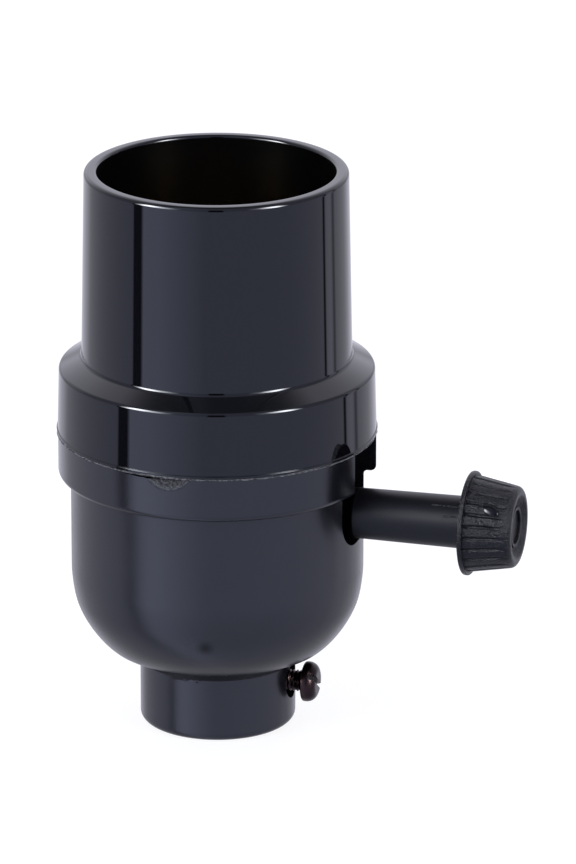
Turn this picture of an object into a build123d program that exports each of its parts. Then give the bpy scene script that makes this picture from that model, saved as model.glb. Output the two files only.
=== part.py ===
from build123d import *
from math import cos, hypot, radians, sin
import os

# A turn knob lamp socket, in millimetres. The socket stands on its neck: Z runs up the bulb's axis
# from the neck's lower face, and X runs out along the knob's spindle.

# Screw shell for a medium bulb
thread_major_r = 13.3
thread_depth = 0.85
thread_pitch = 3.63
shell_wall = 0.4
shell_height = 18.4
shell_lip = 0.45
shell_bend_r = 1.2
shell_hole_r = 6.2

# Upper shell, stepping outwards from the bulb's thread
bulb_room = 2.7
rim_wall = 1.8
barrel_draft = 0.5
barrel_height = 25.7
shoulder_width = 3.07
shoulder_height = 1.8
band_draft = 0.23
upper_band_height = 9.0
lip_proud = 0.18
lip_height = 0.9

# Lower shell, from its band down to the neck
band_mismatch = 0.05
lower_band_height = 6.15
body_step = 1.68
body_height = 13.1
dome_big_r = 17.0
dome_big_turn = 21.4
dome_small_r = 12.2
dome_small_turn = 45.9
dome_height = 13.6
neck_r = 10.6
neck_height = 8.7

# Rounds on the two shells
neck_round = 1.1
rim_round = 0.45
lip_round = 0.1
edge_round = 0.6
band_round = 0.85
hollow_round = 0.5

# Walls and the room inside them
mouth_depth = 10.65
body_wall = 2.3
band_wall = 2.3
floor_thickness = 4.6
floor_lift = 2.45
rabbet_depth = 3.05
base_thickness = 2.4
fit_clearance = 0.2

# Slot for the stem, and the chip in the lower shell's upper edge
slot_width = 11.2
slot_corner_r = 3.0
slot_below_axis = 3.9
chip_width = 4.5
chip_depth = 1.2
chip_bite = 1.15

# Neck bushing and set screw
bushing_bore_r = 4.85
bushing_wall = 1.55
bushing_proud = 0.6
collar_reach = 1.0
collar_height = 1.6
collar_share = 0.55
set_screw_z = 6.15
set_screw_r = 1.5
set_screw_hole_r = 2.45
set_head_r = 2.75
set_head_height = 1.9
set_head_gap = 1.7
set_slot_width = 0.8
set_slot_depth = 0.8
set_slot_turn = -35

# Centre contact and the fixings on the floor
contact_width = 5.0
contact_reach = 4.6
contact_rise = 3.9
rivet_r = 1.2
rivet_head_r = 2.1
rivet_head_height = 0.8
shell_rivet_place = 9.7
assembly_circle_r = 9.3
assembly_angle = 35
assembly_r = 1.5
assembly_head_r = 2.2
assembly_head_height = 1.3
assembly_hole_r = 1.65
assembly_bite = 6.5
assembly_tip_gap = 0.5
boss_r = 2.8
thread_gap = 0.05

# Knob, stem and spindle
spindle_drop = 10.35
spindle_r = 1.5
spindle_bite = 5.0
stem_journal_r = 3.2
stem_step = 0.18
stem_draft = 0.19
knob_place = 35.2
knob_flange_r = 7.07
knob_flange = 0.65
knob_length = 7.0
flange_reach = 0.49
knob_draft = 1.13
knob_end_round = 0.85
knob_rim = 1.1
knob_bowl_depth = 0.75
knob_ring_r = 2.3
knob_ring_width = 0.5
knob_ring_height = 0.4
flute_count = 24
flute_r = 0.34
flute_depth = 0.2
running_gap = 0.08

# Switch block and rotor
block_height = 17.5
block_front_depth = 4.77
block_front_width = 13.0
ceiling_rise = 8.2
blade_room = 2.0
drum_r = 5.4
drum_length = 7.3
cam_side = 8.2
cam_length = 3.0
cam_inset = 0.2
rotor_play = 0.3
journal_r = 2.2
journal_length = 5.6
bar_width = 2.4
bar_thickness = 1.4
bar_setback = 0.8
spindle_end_gap = 0.4
washer_inset = 0.8
strap_room_share = 3.2
washer_thickness = 0.5
cover_thickness = 1.0
cover_length = 26.0
cover_width = 22.0

# Blades, terminals and their screws
strip_thickness = 0.6
strip_bend_r = 0.8
blade_width = 4.0
blade_gap = 0.2
terminal_width = 7.6
terminal_depth = 4.77
terminal_top = 37.0
terminal_screw_z = 30.0
terminal_screw_r = 1.7
terminal_screw_bite = 3.4
terminal_head_r = 3.3
terminal_head_height = 1.8
screw_slot_width = 0.9
screw_slot_depth = 0.8
detent_thickness = 0.4
detent_width = 2.4
detent_gap = 0.15

# Radii that follow from the sizes above, from the bulb's thread outwards
shell_outer_r = thread_major_r + shell_wall
well_r = shell_outer_r + shell_lip + fit_clearance
bore_r = thread_major_r + bulb_room
rim_r = bore_r + rim_wall
barrel_base_r = rim_r + barrel_draft
upper_band_top_r = barrel_base_r + shoulder_width
upper_band_r = upper_band_top_r + band_draft
lip_r = upper_band_r + lip_proud
lower_band_r = upper_band_r - band_mismatch
body_r = lower_band_r - body_step
cavity_r = body_r - body_wall
rabbet_r = lower_band_r - band_wall
block_r = cavity_r - fit_clearance
flange_r = rabbet_r - fit_clearance
bushing_r = bushing_bore_r + bushing_wall
collar_r = bushing_r + collar_reach

# Levels that follow from the sizes above, from the neck upwards
dome_top_z = neck_height + dome_height
band_z = dome_top_z + body_height
seam_z = band_z + lower_band_height
shoulder_z = seam_z + upper_band_height
barrel_z = shoulder_z + shoulder_height
rim_z = barrel_z + barrel_height
rabbet_z = seam_z - rabbet_depth
floor_under_z = seam_z + floor_lift
floor_z = floor_under_z + floor_thickness
base_z = neck_height + base_thickness
axis_z = seam_z - spindle_drop
block_z = rabbet_z - block_height
ceiling_z = axis_z + ceiling_rise
mouth_z = rim_z - mouth_depth
bushing_top_z = base_z + bushing_proud
cover_z = block_z - cover_thickness

# Places round the switch, from the drum and from the block's own side
cavity_half_width = drum_r + blade_room
terminal_face = block_r - terminal_depth
block_front = block_r - block_front_depth

# Places along the spindle, from the drum's two ends
drum_front_x = 4.9
drum_back_x = drum_front_x - drum_length
cam_back_x = drum_back_x - cam_length
cavity_front_x = drum_front_x + washer_thickness + rotor_play / 2
cavity_back_x = cam_back_x - rotor_play
bar_x = drum_back_x + bar_setback + bar_width / 2
spindle_x = bar_x + bar_width / 2 + spindle_end_gap
stem_x = cavity_front_x + fit_clearance
knob_face_x = knob_place + knob_length

# Points on the block where the two long screws pass
assembly_x = assembly_circle_r * cos(radians(assembly_angle))
assembly_y = assembly_circle_r * sin(radians(assembly_angle))
assembly_points = [(assembly_x, assembly_y), (-assembly_x, -assembly_y)]


def save(builder, name):
    """Labels a finished piece and writes it to its own file."""
    builder.part.label = name
    export_step(builder.part, f"parts/{name}.step")


def dome_outline(wall):
    """The dome's side as two arcs and a straight run, from the body down to the neck, inset by a wall."""
    big = JernArc((body_r - wall, dome_top_z), (0, -1), dome_big_r - wall, -dome_big_turn)
    small = JernArc(big @ 1, big % 1, dome_small_r - wall, -dome_small_turn)
    return small


os.makedirs("parts", exist_ok=True)

# How near a level an edge has to lie to be picked by it
near = 0.01

# Neck bushing: a threaded brass insert with a collar that the neck is moulded around


def bushing_outline():
    """Half section of the insert, as a solid, from its lower face to its top."""
    collar_z = bushing_top_z * collar_share
    Polyline(
        (0, 0),
        (bushing_r, 0),
        (bushing_r, collar_z),
        (collar_r, collar_z),
        (collar_r, collar_z + collar_height),
        (bushing_r, collar_z + collar_height),
        (bushing_r, bushing_top_z),
        (0, bushing_top_z),
        close=True,
    )


with BuildPart() as neck_bushing:
    with BuildSketch(Plane.XZ):
        with BuildLine():
            bushing_outline()
        make_face()
    revolve(axis=Axis.Z)
    with Locations((0, 0, bushing_top_z)):
        Hole(bushing_bore_r)
    with BuildSketch(Plane.YZ.offset(bushing_bore_r / 2)):
        with Locations((0, set_screw_z)):
            Circle(set_screw_r + thread_gap)
    extrude(amount=bushing_r, mode=Mode.SUBTRACT)
    mouth = neck_bushing.edges().filter_by(GeomType.CIRCLE).group_by(Axis.Z)[-1].sort_by(SortBy.RADIUS)[0]
    chamfer(mouth, bushing_wall / 4)
save(neck_bushing, "neck_bushing")

# Lower shell: the moulded dome, band and neck, open at the seam

with BuildPart() as lower_shell:
    with BuildSketch(Plane.XZ):
        with BuildLine():
            Polyline((0, 0), (neck_r, 0), (neck_r, neck_height))
            side = dome_outline(0)
            reach = (neck_r - (side @ 1).X) / (side % 1).X
            under = Line(side @ 1, side @ 1 + side % 1 * reach)
            Line(under @ 1, (neck_r, neck_height))
            Polyline(
                (body_r, dome_top_z),
                (body_r, band_z),
                (lower_band_r, band_z),
                (lower_band_r, seam_z),
                (0, seam_z),
                (0, 0),
            )
        make_face()
    revolve(axis=Axis.Z)
    rings = lower_shell.edges().filter_by(GeomType.CIRCLE)
    fillet(rings.group_by(Axis.Z)[0], neck_round)
    for place, size in ((-1, band_round), (0, hollow_round)):
        rings = lower_shell.edges().filter_by(GeomType.CIRCLE)
        step = rings.filter_by_position(Axis.Z, band_z - near, band_z + near)
        fillet(step.sort_by(SortBy.RADIUS)[place], size)
    with BuildSketch(Plane.XZ):
        with BuildLine():
            Polyline((0, seam_z), (cavity_r, seam_z), (cavity_r, dome_top_z))
            inner = dome_outline(body_wall)
            Polyline(inner @ 1, (0, (inner @ 1).Y), (0, seam_z))
        make_face()
        with Locations((0, base_z)):
            Rectangle(body_r, body_r, align=(Align.MIN, Align.MAX), mode=Mode.SUBTRACT)
    revolve(axis=Axis.Z, mode=Mode.SUBTRACT)
    with BuildSketch(Plane.XY.offset(rabbet_z)):
        Circle(rabbet_r)
    extrude(amount=rabbet_depth, mode=Mode.SUBTRACT)
    with BuildSketch(Plane.XY.offset(cover_z)):
        with Locations(*assembly_points):
            Circle(boss_r)
    extrude(until=Until.PREVIOUS, target=lower_shell.part)
    with BuildSketch(Plane.XZ):
        with BuildLine():
            bushing_outline()
        make_face()
    revolve(axis=Axis.Z, mode=Mode.SUBTRACT)
    with BuildSketch(Plane.XY.offset(cover_z)):
        with Locations(*assembly_points):
            Circle(assembly_r + thread_gap)
    extrude(amount=-assembly_bite, mode=Mode.SUBTRACT)
    with BuildSketch(Plane.YZ.offset(bushing_bore_r)):
        with Locations((0, set_screw_z)):
            Circle(set_screw_hole_r)
    extrude(amount=neck_r, mode=Mode.SUBTRACT)
    slot_z = axis_z - slot_below_axis
    with BuildSketch(Plane.YZ.offset(block_front)):
        with Locations((0, slot_z)):
            slot = Rectangle(slot_width, 2 * (seam_z - slot_z), align=(Align.CENTER, Align.MIN))
        fillet(slot.vertices().group_by(Axis.Z)[0], slot_corner_r)
    extrude(amount=lower_band_r, mode=Mode.SUBTRACT)
    chip_out = ((chip_width / 2) ** 2 - chip_bite**2) / (2 * chip_bite)
    chip_up = ((chip_width / 2) ** 2 - chip_depth**2) / (2 * chip_depth)
    with Locations((0, -lower_band_r - chip_out, seam_z + chip_up)):
        Sphere(hypot(chip_width / 2, chip_out, chip_up), mode=Mode.SUBTRACT)
save(lower_shell, "lower_shell")

# Upper shell: the moulded barrel, with the bulb's mouth above and the floor that carries the screw shell

with BuildPart() as upper_shell:
    with BuildSketch(Plane.XZ):
        with BuildLine():
            Polyline(
                (0, seam_z),
                (lip_r, seam_z),
                (lip_r, seam_z + lip_height),
                (upper_band_r, seam_z + lip_height),
                (upper_band_top_r, shoulder_z),
                (barrel_base_r, barrel_z),
                (rim_r, rim_z),
                (0, rim_z),
                close=True,
            )
        make_face()
    revolve(axis=Axis.Z)
    rings = upper_shell.edges().filter_by(GeomType.CIRCLE).group_by(Axis.Z)
    fillet([rings[-1], rings[-2], rings[-3]], edge_round)
    lip = upper_shell.edges().filter_by(GeomType.CIRCLE).sort_by(SortBy.RADIUS)[-2:]
    fillet(lip, lip_round)
    with BuildSketch(Plane.XY.offset(mouth_z)):
        Circle(bore_r)
    extrude(amount=mouth_depth, mode=Mode.SUBTRACT)
    with BuildSketch(Plane.XY.offset(floor_z)):
        Circle(well_r)
    extrude(amount=mouth_z - floor_z, mode=Mode.SUBTRACT)
    top_rings = upper_shell.edges().filter_by(GeomType.CIRCLE).group_by(Axis.Z)[-1]
    fillet(top_rings.sort_by(SortBy.RADIUS)[0], rim_round)
    with BuildSketch(Plane.XY.offset(seam_z)):
        Circle(rabbet_r)
    extrude(amount=floor_lift, mode=Mode.SUBTRACT)
    with BuildSketch(Plane.XY.offset(floor_under_z)):
        with Locations((0, 0), (0, shell_rivet_place)):
            Circle(rivet_r + thread_gap)
        with Locations(*assembly_points):
            Circle(assembly_hole_r)
    extrude(amount=floor_thickness, mode=Mode.SUBTRACT)
save(upper_shell, "upper_shell")

# Screw shell: thin brass, rolled with the bulb's thread and turned in at the bottom to sit on the floor

shell_z = floor_z
shell_top_z = shell_z + shell_height
crest = thread_depth / 2
middle_r = thread_major_r - crest + shell_wall / 2
half_pitch = thread_pitch / 2
bend_z = shell_z + shell_wall / 2
thread_z = bend_z + shell_bend_r
turns = int((shell_height - 2 * shell_bend_r) / thread_pitch)

with BuildPart() as screw_shell:
    with BuildSketch(Plane.XZ):
        with BuildLine():
            flat = Line((shell_hole_r, bend_z), (middle_r - shell_bend_r, bend_z))
            bend = RadiusArc(flat @ 1, (middle_r, thread_z), -shell_bend_r)
            end = bend @ 1
            for swing in [crest, -crest] * turns:
                peak = (middle_r + swing, end.Y + half_pitch / 2)
                wave = ThreePointArc(end, peak, (middle_r, end.Y + half_pitch))
                end = wave @ 1
            flare = TangentArc(end, (middle_r + crest, end.Y + half_pitch / 2), tangent=wave % 1)
            entry = Line(flare @ 1, (middle_r + crest, shell_top_z - shell_lip))
            RadiusArc(entry @ 1, (middle_r + crest + shell_lip, shell_top_z), shell_lip)
        trace(line_width=shell_wall)
    revolve(axis=Axis.Z)
    with BuildSketch(Plane.XY.offset(shell_z)):
        with Locations((0, shell_rivet_place)):
            Circle(rivet_r + thread_gap)
        with Locations(*assembly_points):
            Circle(assembly_hole_r)
    extrude(amount=shell_wall, mode=Mode.SUBTRACT)
save(screw_shell, "screw_shell")

# Centre contact: a brass tongue, riveted to the floor and bent back over its own rivet

contact_z = floor_z + strip_thickness / 2
contact_top_z = floor_z + contact_rise

with BuildPart() as center_contact:
    with BuildSketch(Plane.XZ.offset(-contact_width / 2)):
        with BuildLine():
            FilletPolyline(
                (contact_reach / 2, contact_z),
                (-contact_reach, contact_z),
                (-contact_reach - strip_thickness, contact_top_z - 2 * strip_thickness),
                (contact_reach, contact_top_z),
                radius=strip_bend_r,
            )
        trace(line_width=strip_thickness)
    extrude(amount=contact_width)
    with BuildSketch(Plane.XY.offset(floor_z)):
        Circle(rivet_r + thread_gap)
    extrude(amount=strip_thickness, mode=Mode.SUBTRACT)
save(center_contact, "center_contact")


# Rivets: a round head above, a shank, and a flat clenched end below


def rivet(place, top_z, bottom_z):
    """A brass rivet along Z, at a place on the Y axis, that grips what lies between two levels."""
    clench_z = bottom_z - rivet_head_height
    with BuildPart() as body:
        for level, radius, height in (
            (clench_z, rivet_head_r, rivet_head_height),
            (bottom_z, rivet_r, top_z - bottom_z),
            (top_z, rivet_head_r, rivet_head_height),
        ):
            with BuildSketch(Plane.XY.offset(level)):
                with Locations((0, place)):
                    Circle(radius)
            extrude(amount=height)
        fillet(body.edges().group_by(Axis.Z)[-1], rivet_head_height * 0.8)
    return body


contact_rivet = rivet(0, floor_z + strip_thickness, ceiling_z - strip_thickness)
save(contact_rivet, "contact_rivet")
shell_rivet = rivet(shell_rivet_place, floor_z + shell_wall, floor_under_z - strip_thickness)
save(shell_rivet, "shell_rivet")

# Assembly screws: two long steel screws that clamp the screw shell and bite into the lower shell

with BuildPart() as assembly_screws:
    screw_top_z = floor_z + shell_wall
    screw_end_z = cover_z - assembly_bite + assembly_tip_gap
    with BuildSketch(Plane.XY.offset(screw_end_z)):
        with Locations(*assembly_points):
            Circle(assembly_r)
    extrude(amount=screw_top_z - screw_end_z)
    chamfer(assembly_screws.edges().filter_by(GeomType.CIRCLE).group_by(Axis.Z)[0], assembly_r / 4)
    with BuildSketch(Plane.XY.offset(screw_top_z)):
        with Locations(*assembly_points):
            Circle(assembly_head_r)
    extrude(amount=assembly_head_height)
    fillet(assembly_screws.edges().filter_by(GeomType.CIRCLE).group_by(Axis.Z)[-1], assembly_head_height / 2)
    with BuildSketch(Plane.XY.offset(screw_top_z + assembly_head_height)):
        with Locations(*assembly_points):
            Rectangle(2 * assembly_head_r, screw_slot_width)
    extrude(amount=-assembly_head_height / 2, mode=Mode.SUBTRACT)
save(assembly_screws, "assembly_screws")

# Switch block: the moulding under the floor, with the cavity, two bearings and the terminals' seats

spindle_plane = Plane(origin=(0, 0, axis_z), x_dir=(0, 1, 0), z_dir=(1, 0, 0))
blade_face = drum_r + blade_gap
strap_z = block_z + 2 * strip_thickness
strap_room = strap_room_share * strip_thickness

with BuildPart() as switch_block:
    with BuildSketch(Plane.XY.offset(block_z)):
        Circle(block_r)
    extrude(amount=block_height)
    with BuildSketch(Plane.XY.offset(rabbet_z)):
        Circle(flange_r)
    extrude(amount=floor_under_z - rabbet_z)
    with BuildSketch(Plane.YZ.offset(block_front)):
        with Locations((0, block_z)):
            Rectangle(block_front_width, seam_z - block_z, align=(Align.CENTER, Align.MIN))
    extrude(amount=flange_r, mode=Mode.SUBTRACT)
    with BuildSketch(Plane.YZ.offset(cavity_back_x)):
        with Locations((0, block_z)):
            Rectangle(2 * cavity_half_width, ceiling_z - block_z, align=(Align.CENTER, Align.MIN))
    extrude(amount=cavity_front_x - cavity_back_x, mode=Mode.SUBTRACT)
    with BuildSketch(spindle_plane.offset(cavity_front_x)):
        Circle(stem_journal_r + running_gap)
    extrude(amount=block_front - cavity_front_x, mode=Mode.SUBTRACT)
    with BuildSketch(spindle_plane.offset(cavity_back_x)):
        Circle(journal_r + running_gap)
    extrude(amount=-journal_length, mode=Mode.SUBTRACT)
    seat_width = terminal_width + 2 * fit_clearance
    with BuildSketch(Plane.XZ.offset(terminal_face)):
        with Locations((0, block_z)):
            Rectangle(seat_width, terminal_top + fit_clearance - block_z, align=(Align.CENTER, Align.MIN))
    extrude(amount=flange_r, mode=Mode.SUBTRACT)
    with BuildSketch(Plane.XZ.offset(-terminal_face)):
        with Locations((0, block_z)):
            Rectangle(seat_width, floor_under_z - block_z, align=(Align.CENTER, Align.MIN))
    extrude(amount=-flange_r, mode=Mode.SUBTRACT)
    with BuildSketch(Plane.XZ.offset(cavity_half_width)):
        with Locations((bar_x, block_z)):
            Rectangle(blade_width + 2 * fit_clearance, strap_room, align=(Align.CENTER, Align.MIN))
    extrude(amount=terminal_face - cavity_half_width, mode=Mode.SUBTRACT)
    groove_depth = strip_thickness + fit_clearance / 2
    with BuildSketch(Plane.XY.offset(floor_under_z)):
        with Locations((0, shell_rivet_place - rivet_head_r - fit_clearance)):
            Rectangle(seat_width, flange_r, align=(Align.CENTER, Align.MIN))
    extrude(amount=-groove_depth, mode=Mode.SUBTRACT)
    groove_z = floor_under_z - groove_depth
    long_edges = switch_block.edges().filter_by(Axis.X)
    groove_edges = long_edges.filter_by_position(Axis.Y, terminal_face - near, terminal_face + near)
    fillet(groove_edges.filter_by_position(Axis.Z, groove_z - near, groove_z + near), strip_bend_r)
    with BuildSketch(Plane.XY.offset(floor_under_z)):
        with Locations((0, shell_rivet_place)):
            Circle(rivet_head_r + fit_clearance)
    extrude(amount=-groove_depth - rivet_head_height - fit_clearance, mode=Mode.SUBTRACT)
    with BuildSketch(Plane.XY.offset(block_z)):
        Circle(rivet_r + thread_gap)
        with Locations(*assembly_points):
            Circle(assembly_hole_r)
    extrude(amount=floor_under_z - block_z, mode=Mode.SUBTRACT)
    for side in (1, -1):
        with BuildSketch(Plane.XZ.offset(side * terminal_face)):
            with Locations((0, terminal_screw_z)):
                Circle(terminal_screw_r + thread_gap)
        extrude(amount=-side * (terminal_screw_bite + fit_clearance), mode=Mode.SUBTRACT)
save(switch_block, "switch_block")

# Switch cover: a fibre plate, clamped between the block and the lower shell's bosses

with BuildPart() as switch_cover:
    with BuildSketch(Plane.XY.offset(cover_z)):
        RectangleRounded(cover_length, cover_width, assembly_r)
        with Locations(*assembly_points):
            Circle(assembly_hole_r, mode=Mode.SUBTRACT)
    extrude(amount=cover_thickness)
save(switch_cover, "switch_cover")

# Rotor: a moulded drum with a square detent cam and a journal behind it

with BuildPart() as rotor:
    with BuildSketch(spindle_plane.offset(drum_back_x)):
        Circle(drum_r)
    extrude(amount=drum_length)
    with BuildSketch(spindle_plane.offset(cam_back_x)):
        Rectangle(cam_side, cam_side)
        Circle(drum_r - cam_inset, mode=Mode.INTERSECT)
    extrude(amount=cam_length)
    with BuildSketch(spindle_plane.offset(cam_back_x)):
        Circle(journal_r)
    extrude(amount=-journal_length)
    with BuildSketch(spindle_plane.offset(drum_front_x)):
        Circle(spindle_r)
    extrude(amount=spindle_x - drum_front_x, mode=Mode.SUBTRACT)
    with BuildSketch(spindle_plane.offset(bar_x - bar_width / 2)):
        Rectangle(2 * drum_r, bar_thickness)
    extrude(amount=bar_width, mode=Mode.SUBTRACT)
save(rotor, "rotor")

# Rotor contact: a brass bar through the drum, with ends rounded to the drum's own radius

with BuildPart() as rotor_contact:
    with BuildSketch(spindle_plane.offset(bar_x - bar_width / 2)):
        Rectangle(2 * drum_r, bar_thickness)
        Circle(drum_r, mode=Mode.INTERSECT)
    extrude(amount=bar_width)
save(rotor_contact, "rotor_contact")

# Thrust washer: a fibre ring between the drum and the block's front wall

with BuildPart() as thrust_washer:
    with BuildSketch(spindle_plane.offset(drum_front_x)):
        Circle(drum_r - washer_inset)
        Circle(spindle_r + running_gap, mode=Mode.SUBTRACT)
    extrude(amount=washer_thickness)
save(thrust_washer, "thrust_washer")

# Spindle: a steel rod from the rotor to the knob

with BuildPart() as spindle:
    with BuildSketch(spindle_plane.offset(spindle_x)):
        Circle(spindle_r)
    extrude(amount=knob_place + spindle_bite - spindle_x)
    chamfer(spindle.edges().filter_by(GeomType.CIRCLE), spindle_r / 5)
save(spindle, "spindle")

# Stem sleeve: a moulded insulating stem, journalled in the block and widening a little towards the knob

shoulder_x = block_front + 2 * fit_clearance
stem_inner_r = stem_journal_r + stem_step
stem_outer_r = stem_inner_r + stem_draft

with BuildPart() as stem_sleeve:
    with BuildSketch(Plane.XZ):
        with BuildLine():
            Polyline(
                (stem_x, axis_z + spindle_r),
                (stem_x, axis_z + stem_journal_r),
                (shoulder_x, axis_z + stem_journal_r),
                (shoulder_x, axis_z + stem_inner_r),
                (knob_place, axis_z + stem_outer_r),
                (knob_place, axis_z + spindle_r),
                close=True,
            )
        make_face()
    revolve(axis=Axis((0, 0, axis_z), (1, 0, 0)))
save(stem_sleeve, "stem_sleeve")

# Knob: moulded, with a thin flange, a fluted grip that narrows outwards, and a bowl with a plain ring
# in its end

grip_x = knob_place + knob_flange
knob_base_r = knob_flange_r - flange_reach
knob_end_r = knob_base_r - knob_draft
bowl_r = knob_end_r - knob_rim
bowl_floor_x = knob_face_x - knob_bowl_depth
ball_r = (bowl_r**2 + knob_bowl_depth**2) / (2 * knob_bowl_depth)
flute_lift = flute_r - flute_depth

with BuildPart() as flute:
    with BuildSketch(Plane.XY.offset(grip_x)):
        with Locations((0, knob_base_r + flute_lift)):
            Circle(flute_r)
    with BuildSketch(Plane.XY.offset(knob_face_x)):
        with Locations((0, knob_end_r + flute_lift)):
            Circle(flute_r)
    loft()

with BuildPart(spindle_plane) as knob:
    with BuildSketch(spindle_plane.offset(knob_place)):
        Circle(knob_flange_r)
    extrude(amount=knob_flange)
    fillet(knob.edges(), knob_flange / 3)
    with BuildSketch(spindle_plane.offset(grip_x)):
        Circle(knob_base_r)
    with BuildSketch(spindle_plane.offset(knob_face_x)):
        Circle(knob_end_r)
    loft()
    fillet(knob.edges().group_by(Axis.X)[-1], knob_end_round)
    with Locations((0, 0, bowl_floor_x + ball_r)):
        Sphere(ball_r, mode=Mode.SUBTRACT)
    with BuildSketch(spindle_plane.offset(bowl_floor_x)):
        Circle(knob_ring_r + knob_ring_width)
        Circle(knob_ring_r, mode=Mode.SUBTRACT)
    extrude(amount=knob_ring_height)
    with PolarLocations(0, flute_count):
        add(flute.part, mode=Mode.SUBTRACT)
    with BuildSketch(spindle_plane.offset(knob_place)):
        Circle(spindle_r)
    extrude(amount=spindle_bite, mode=Mode.SUBTRACT)
save(knob, "knob")

# Detent spring: a steel leaf whose flat middle rests on the square cam and whose feet bear on the ceiling

with BuildPart() as detent_spring:
    low_z = axis_z + cam_side / 2 + detent_gap + detent_thickness / 2
    top_z = ceiling_z - detent_thickness / 2
    foot_y = cavity_half_width - fit_clearance
    foot = foot_y / 6
    flat_y = cam_side / 2 + detent_thickness
    with BuildSketch(Plane.YZ.offset(cam_back_x + (cam_length - detent_width) / 2)):
        with BuildLine():
            FilletPolyline(
                (-foot_y, top_z),
                (foot - foot_y, top_z),
                (-flat_y, low_z),
                (flat_y, low_z),
                (foot_y - foot, top_z),
                (foot_y, top_z),
                radius=strip_bend_r,
            )
        trace(line_width=detent_thickness)
    extrude(amount=detent_width)
save(detent_spring, "detent_spring")

# Centre blade: a brass spring, held by the contact rivet, that leans on the drum's far side

half_strip = strip_thickness / 2
blade_y = blade_face + half_strip
blade_end = blade_width / 4
blade_end_y = cavity_half_width - 2 * fit_clearance

with BuildPart() as center_blade:
    with BuildSketch(Plane.YZ.offset(bar_x - blade_width / 2)):
        with BuildLine():
            FilletPolyline(
                (-rivet_head_r, ceiling_z - half_strip),
                (blade_y, ceiling_z - half_strip),
                (blade_y, axis_z - drum_r / 2),
                (blade_end_y, axis_z - drum_r / 2 - blade_end),
                radius=strip_bend_r,
            )
        trace(line_width=strip_thickness)
    extrude(amount=blade_width)
    with BuildSketch(Plane.XY.offset(ceiling_z)):
        Circle(rivet_r + thread_gap)
    extrude(amount=-strip_thickness, mode=Mode.SUBTRACT)
save(center_blade, "center_blade")

# Hot terminal: a brass plate on the block's side, with a strap under the wall and a blade on the drum

plate_y = terminal_face + half_strip
plate_bottom_z = terminal_screw_z - terminal_width / 2

with BuildPart() as hot_terminal:
    with BuildSketch(Plane.YZ.offset(bar_x - blade_width / 2)):
        with BuildLine():
            FilletPolyline(
                (-plate_y, terminal_top),
                (-plate_y, strap_z - half_strip),
                (-blade_y, strap_z - half_strip),
                (-blade_y, axis_z + drum_r / 2),
                (-blade_end_y, axis_z + drum_r / 2 + blade_end),
                radius=strip_bend_r,
            )
        trace(line_width=strip_thickness)
    extrude(amount=blade_width)
    with BuildSketch(Plane.XZ.offset(terminal_face)):
        with Locations((0, plate_bottom_z)):
            Rectangle(terminal_width, terminal_top - plate_bottom_z, align=(Align.CENTER, Align.MIN))
    extrude(amount=strip_thickness)
    with BuildSketch(Plane.XZ.offset(terminal_face)):
        with Locations((0, terminal_screw_z)):
            Circle(terminal_screw_r + thread_gap)
    extrude(amount=strip_thickness, mode=Mode.SUBTRACT)
save(hot_terminal, "hot_terminal")

# Neutral terminal: a plated strap, clenched by the shell rivet and bent down the block's other side

with BuildPart() as neutral_terminal:
    with BuildSketch(Plane.YZ.offset(-terminal_width / 2)):
        with BuildLine():
            FilletPolyline(
                (shell_rivet_place - rivet_head_r, floor_under_z - half_strip),
                (plate_y, floor_under_z - half_strip),
                (plate_y, plate_bottom_z),
                radius=strip_bend_r,
            )
        trace(line_width=strip_thickness)
    extrude(amount=terminal_width)
    with BuildSketch(Plane.XY.offset(floor_under_z)):
        with Locations((0, shell_rivet_place)):
            Circle(rivet_r + thread_gap)
    extrude(amount=-strip_thickness, mode=Mode.SUBTRACT)
    with BuildSketch(Plane.XZ.offset(-terminal_face)):
        with Locations((0, terminal_screw_z)):
            Circle(terminal_screw_r + thread_gap)
    extrude(amount=-strip_thickness, mode=Mode.SUBTRACT)
save(neutral_terminal, "neutral_terminal")

# Terminal screws: slotted binding heads on the plates, one brass and one plated


def terminal_screw(side):
    """A binding screw along Y, for the plate on one side of the block."""
    plate_face = terminal_face + strip_thickness
    with BuildPart() as screw:
        with BuildSketch(Plane.XZ.offset(side * plate_face)):
            with Locations((0, terminal_screw_z)):
                Circle(terminal_screw_r)
        extrude(amount=-side * (terminal_screw_bite + strip_thickness))
        with BuildSketch(Plane.XZ.offset(side * plate_face)):
            with Locations((0, terminal_screw_z)):
                Circle(terminal_head_r)
        extrude(amount=side * terminal_head_height)
        outer = screw.edges().filter_by(GeomType.CIRCLE).sort_by(Axis.Y)[-1 if side < 0 else 0]
        fillet(outer, terminal_head_height / 3)
        with BuildSketch(Plane.XZ.offset(side * (plate_face + terminal_head_height))):
            with Locations((0, terminal_screw_z)):
                Rectangle(2 * terminal_head_r, screw_slot_width)
        extrude(amount=-side * screw_slot_depth, mode=Mode.SUBTRACT)
    return screw


save(terminal_screw(1), "hot_screw")
save(terminal_screw(-1), "neutral_screw")

# Set screw: a steel screw with a domed slotted head, threaded in the bushing through the neck

set_head_x = neck_r + set_head_gap
set_tip_x = bushing_bore_r + 2 * thread_gap
set_plane = Plane(origin=(0, 0, set_screw_z), x_dir=(0, 1, 0), z_dir=(1, 0, 0))

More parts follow.
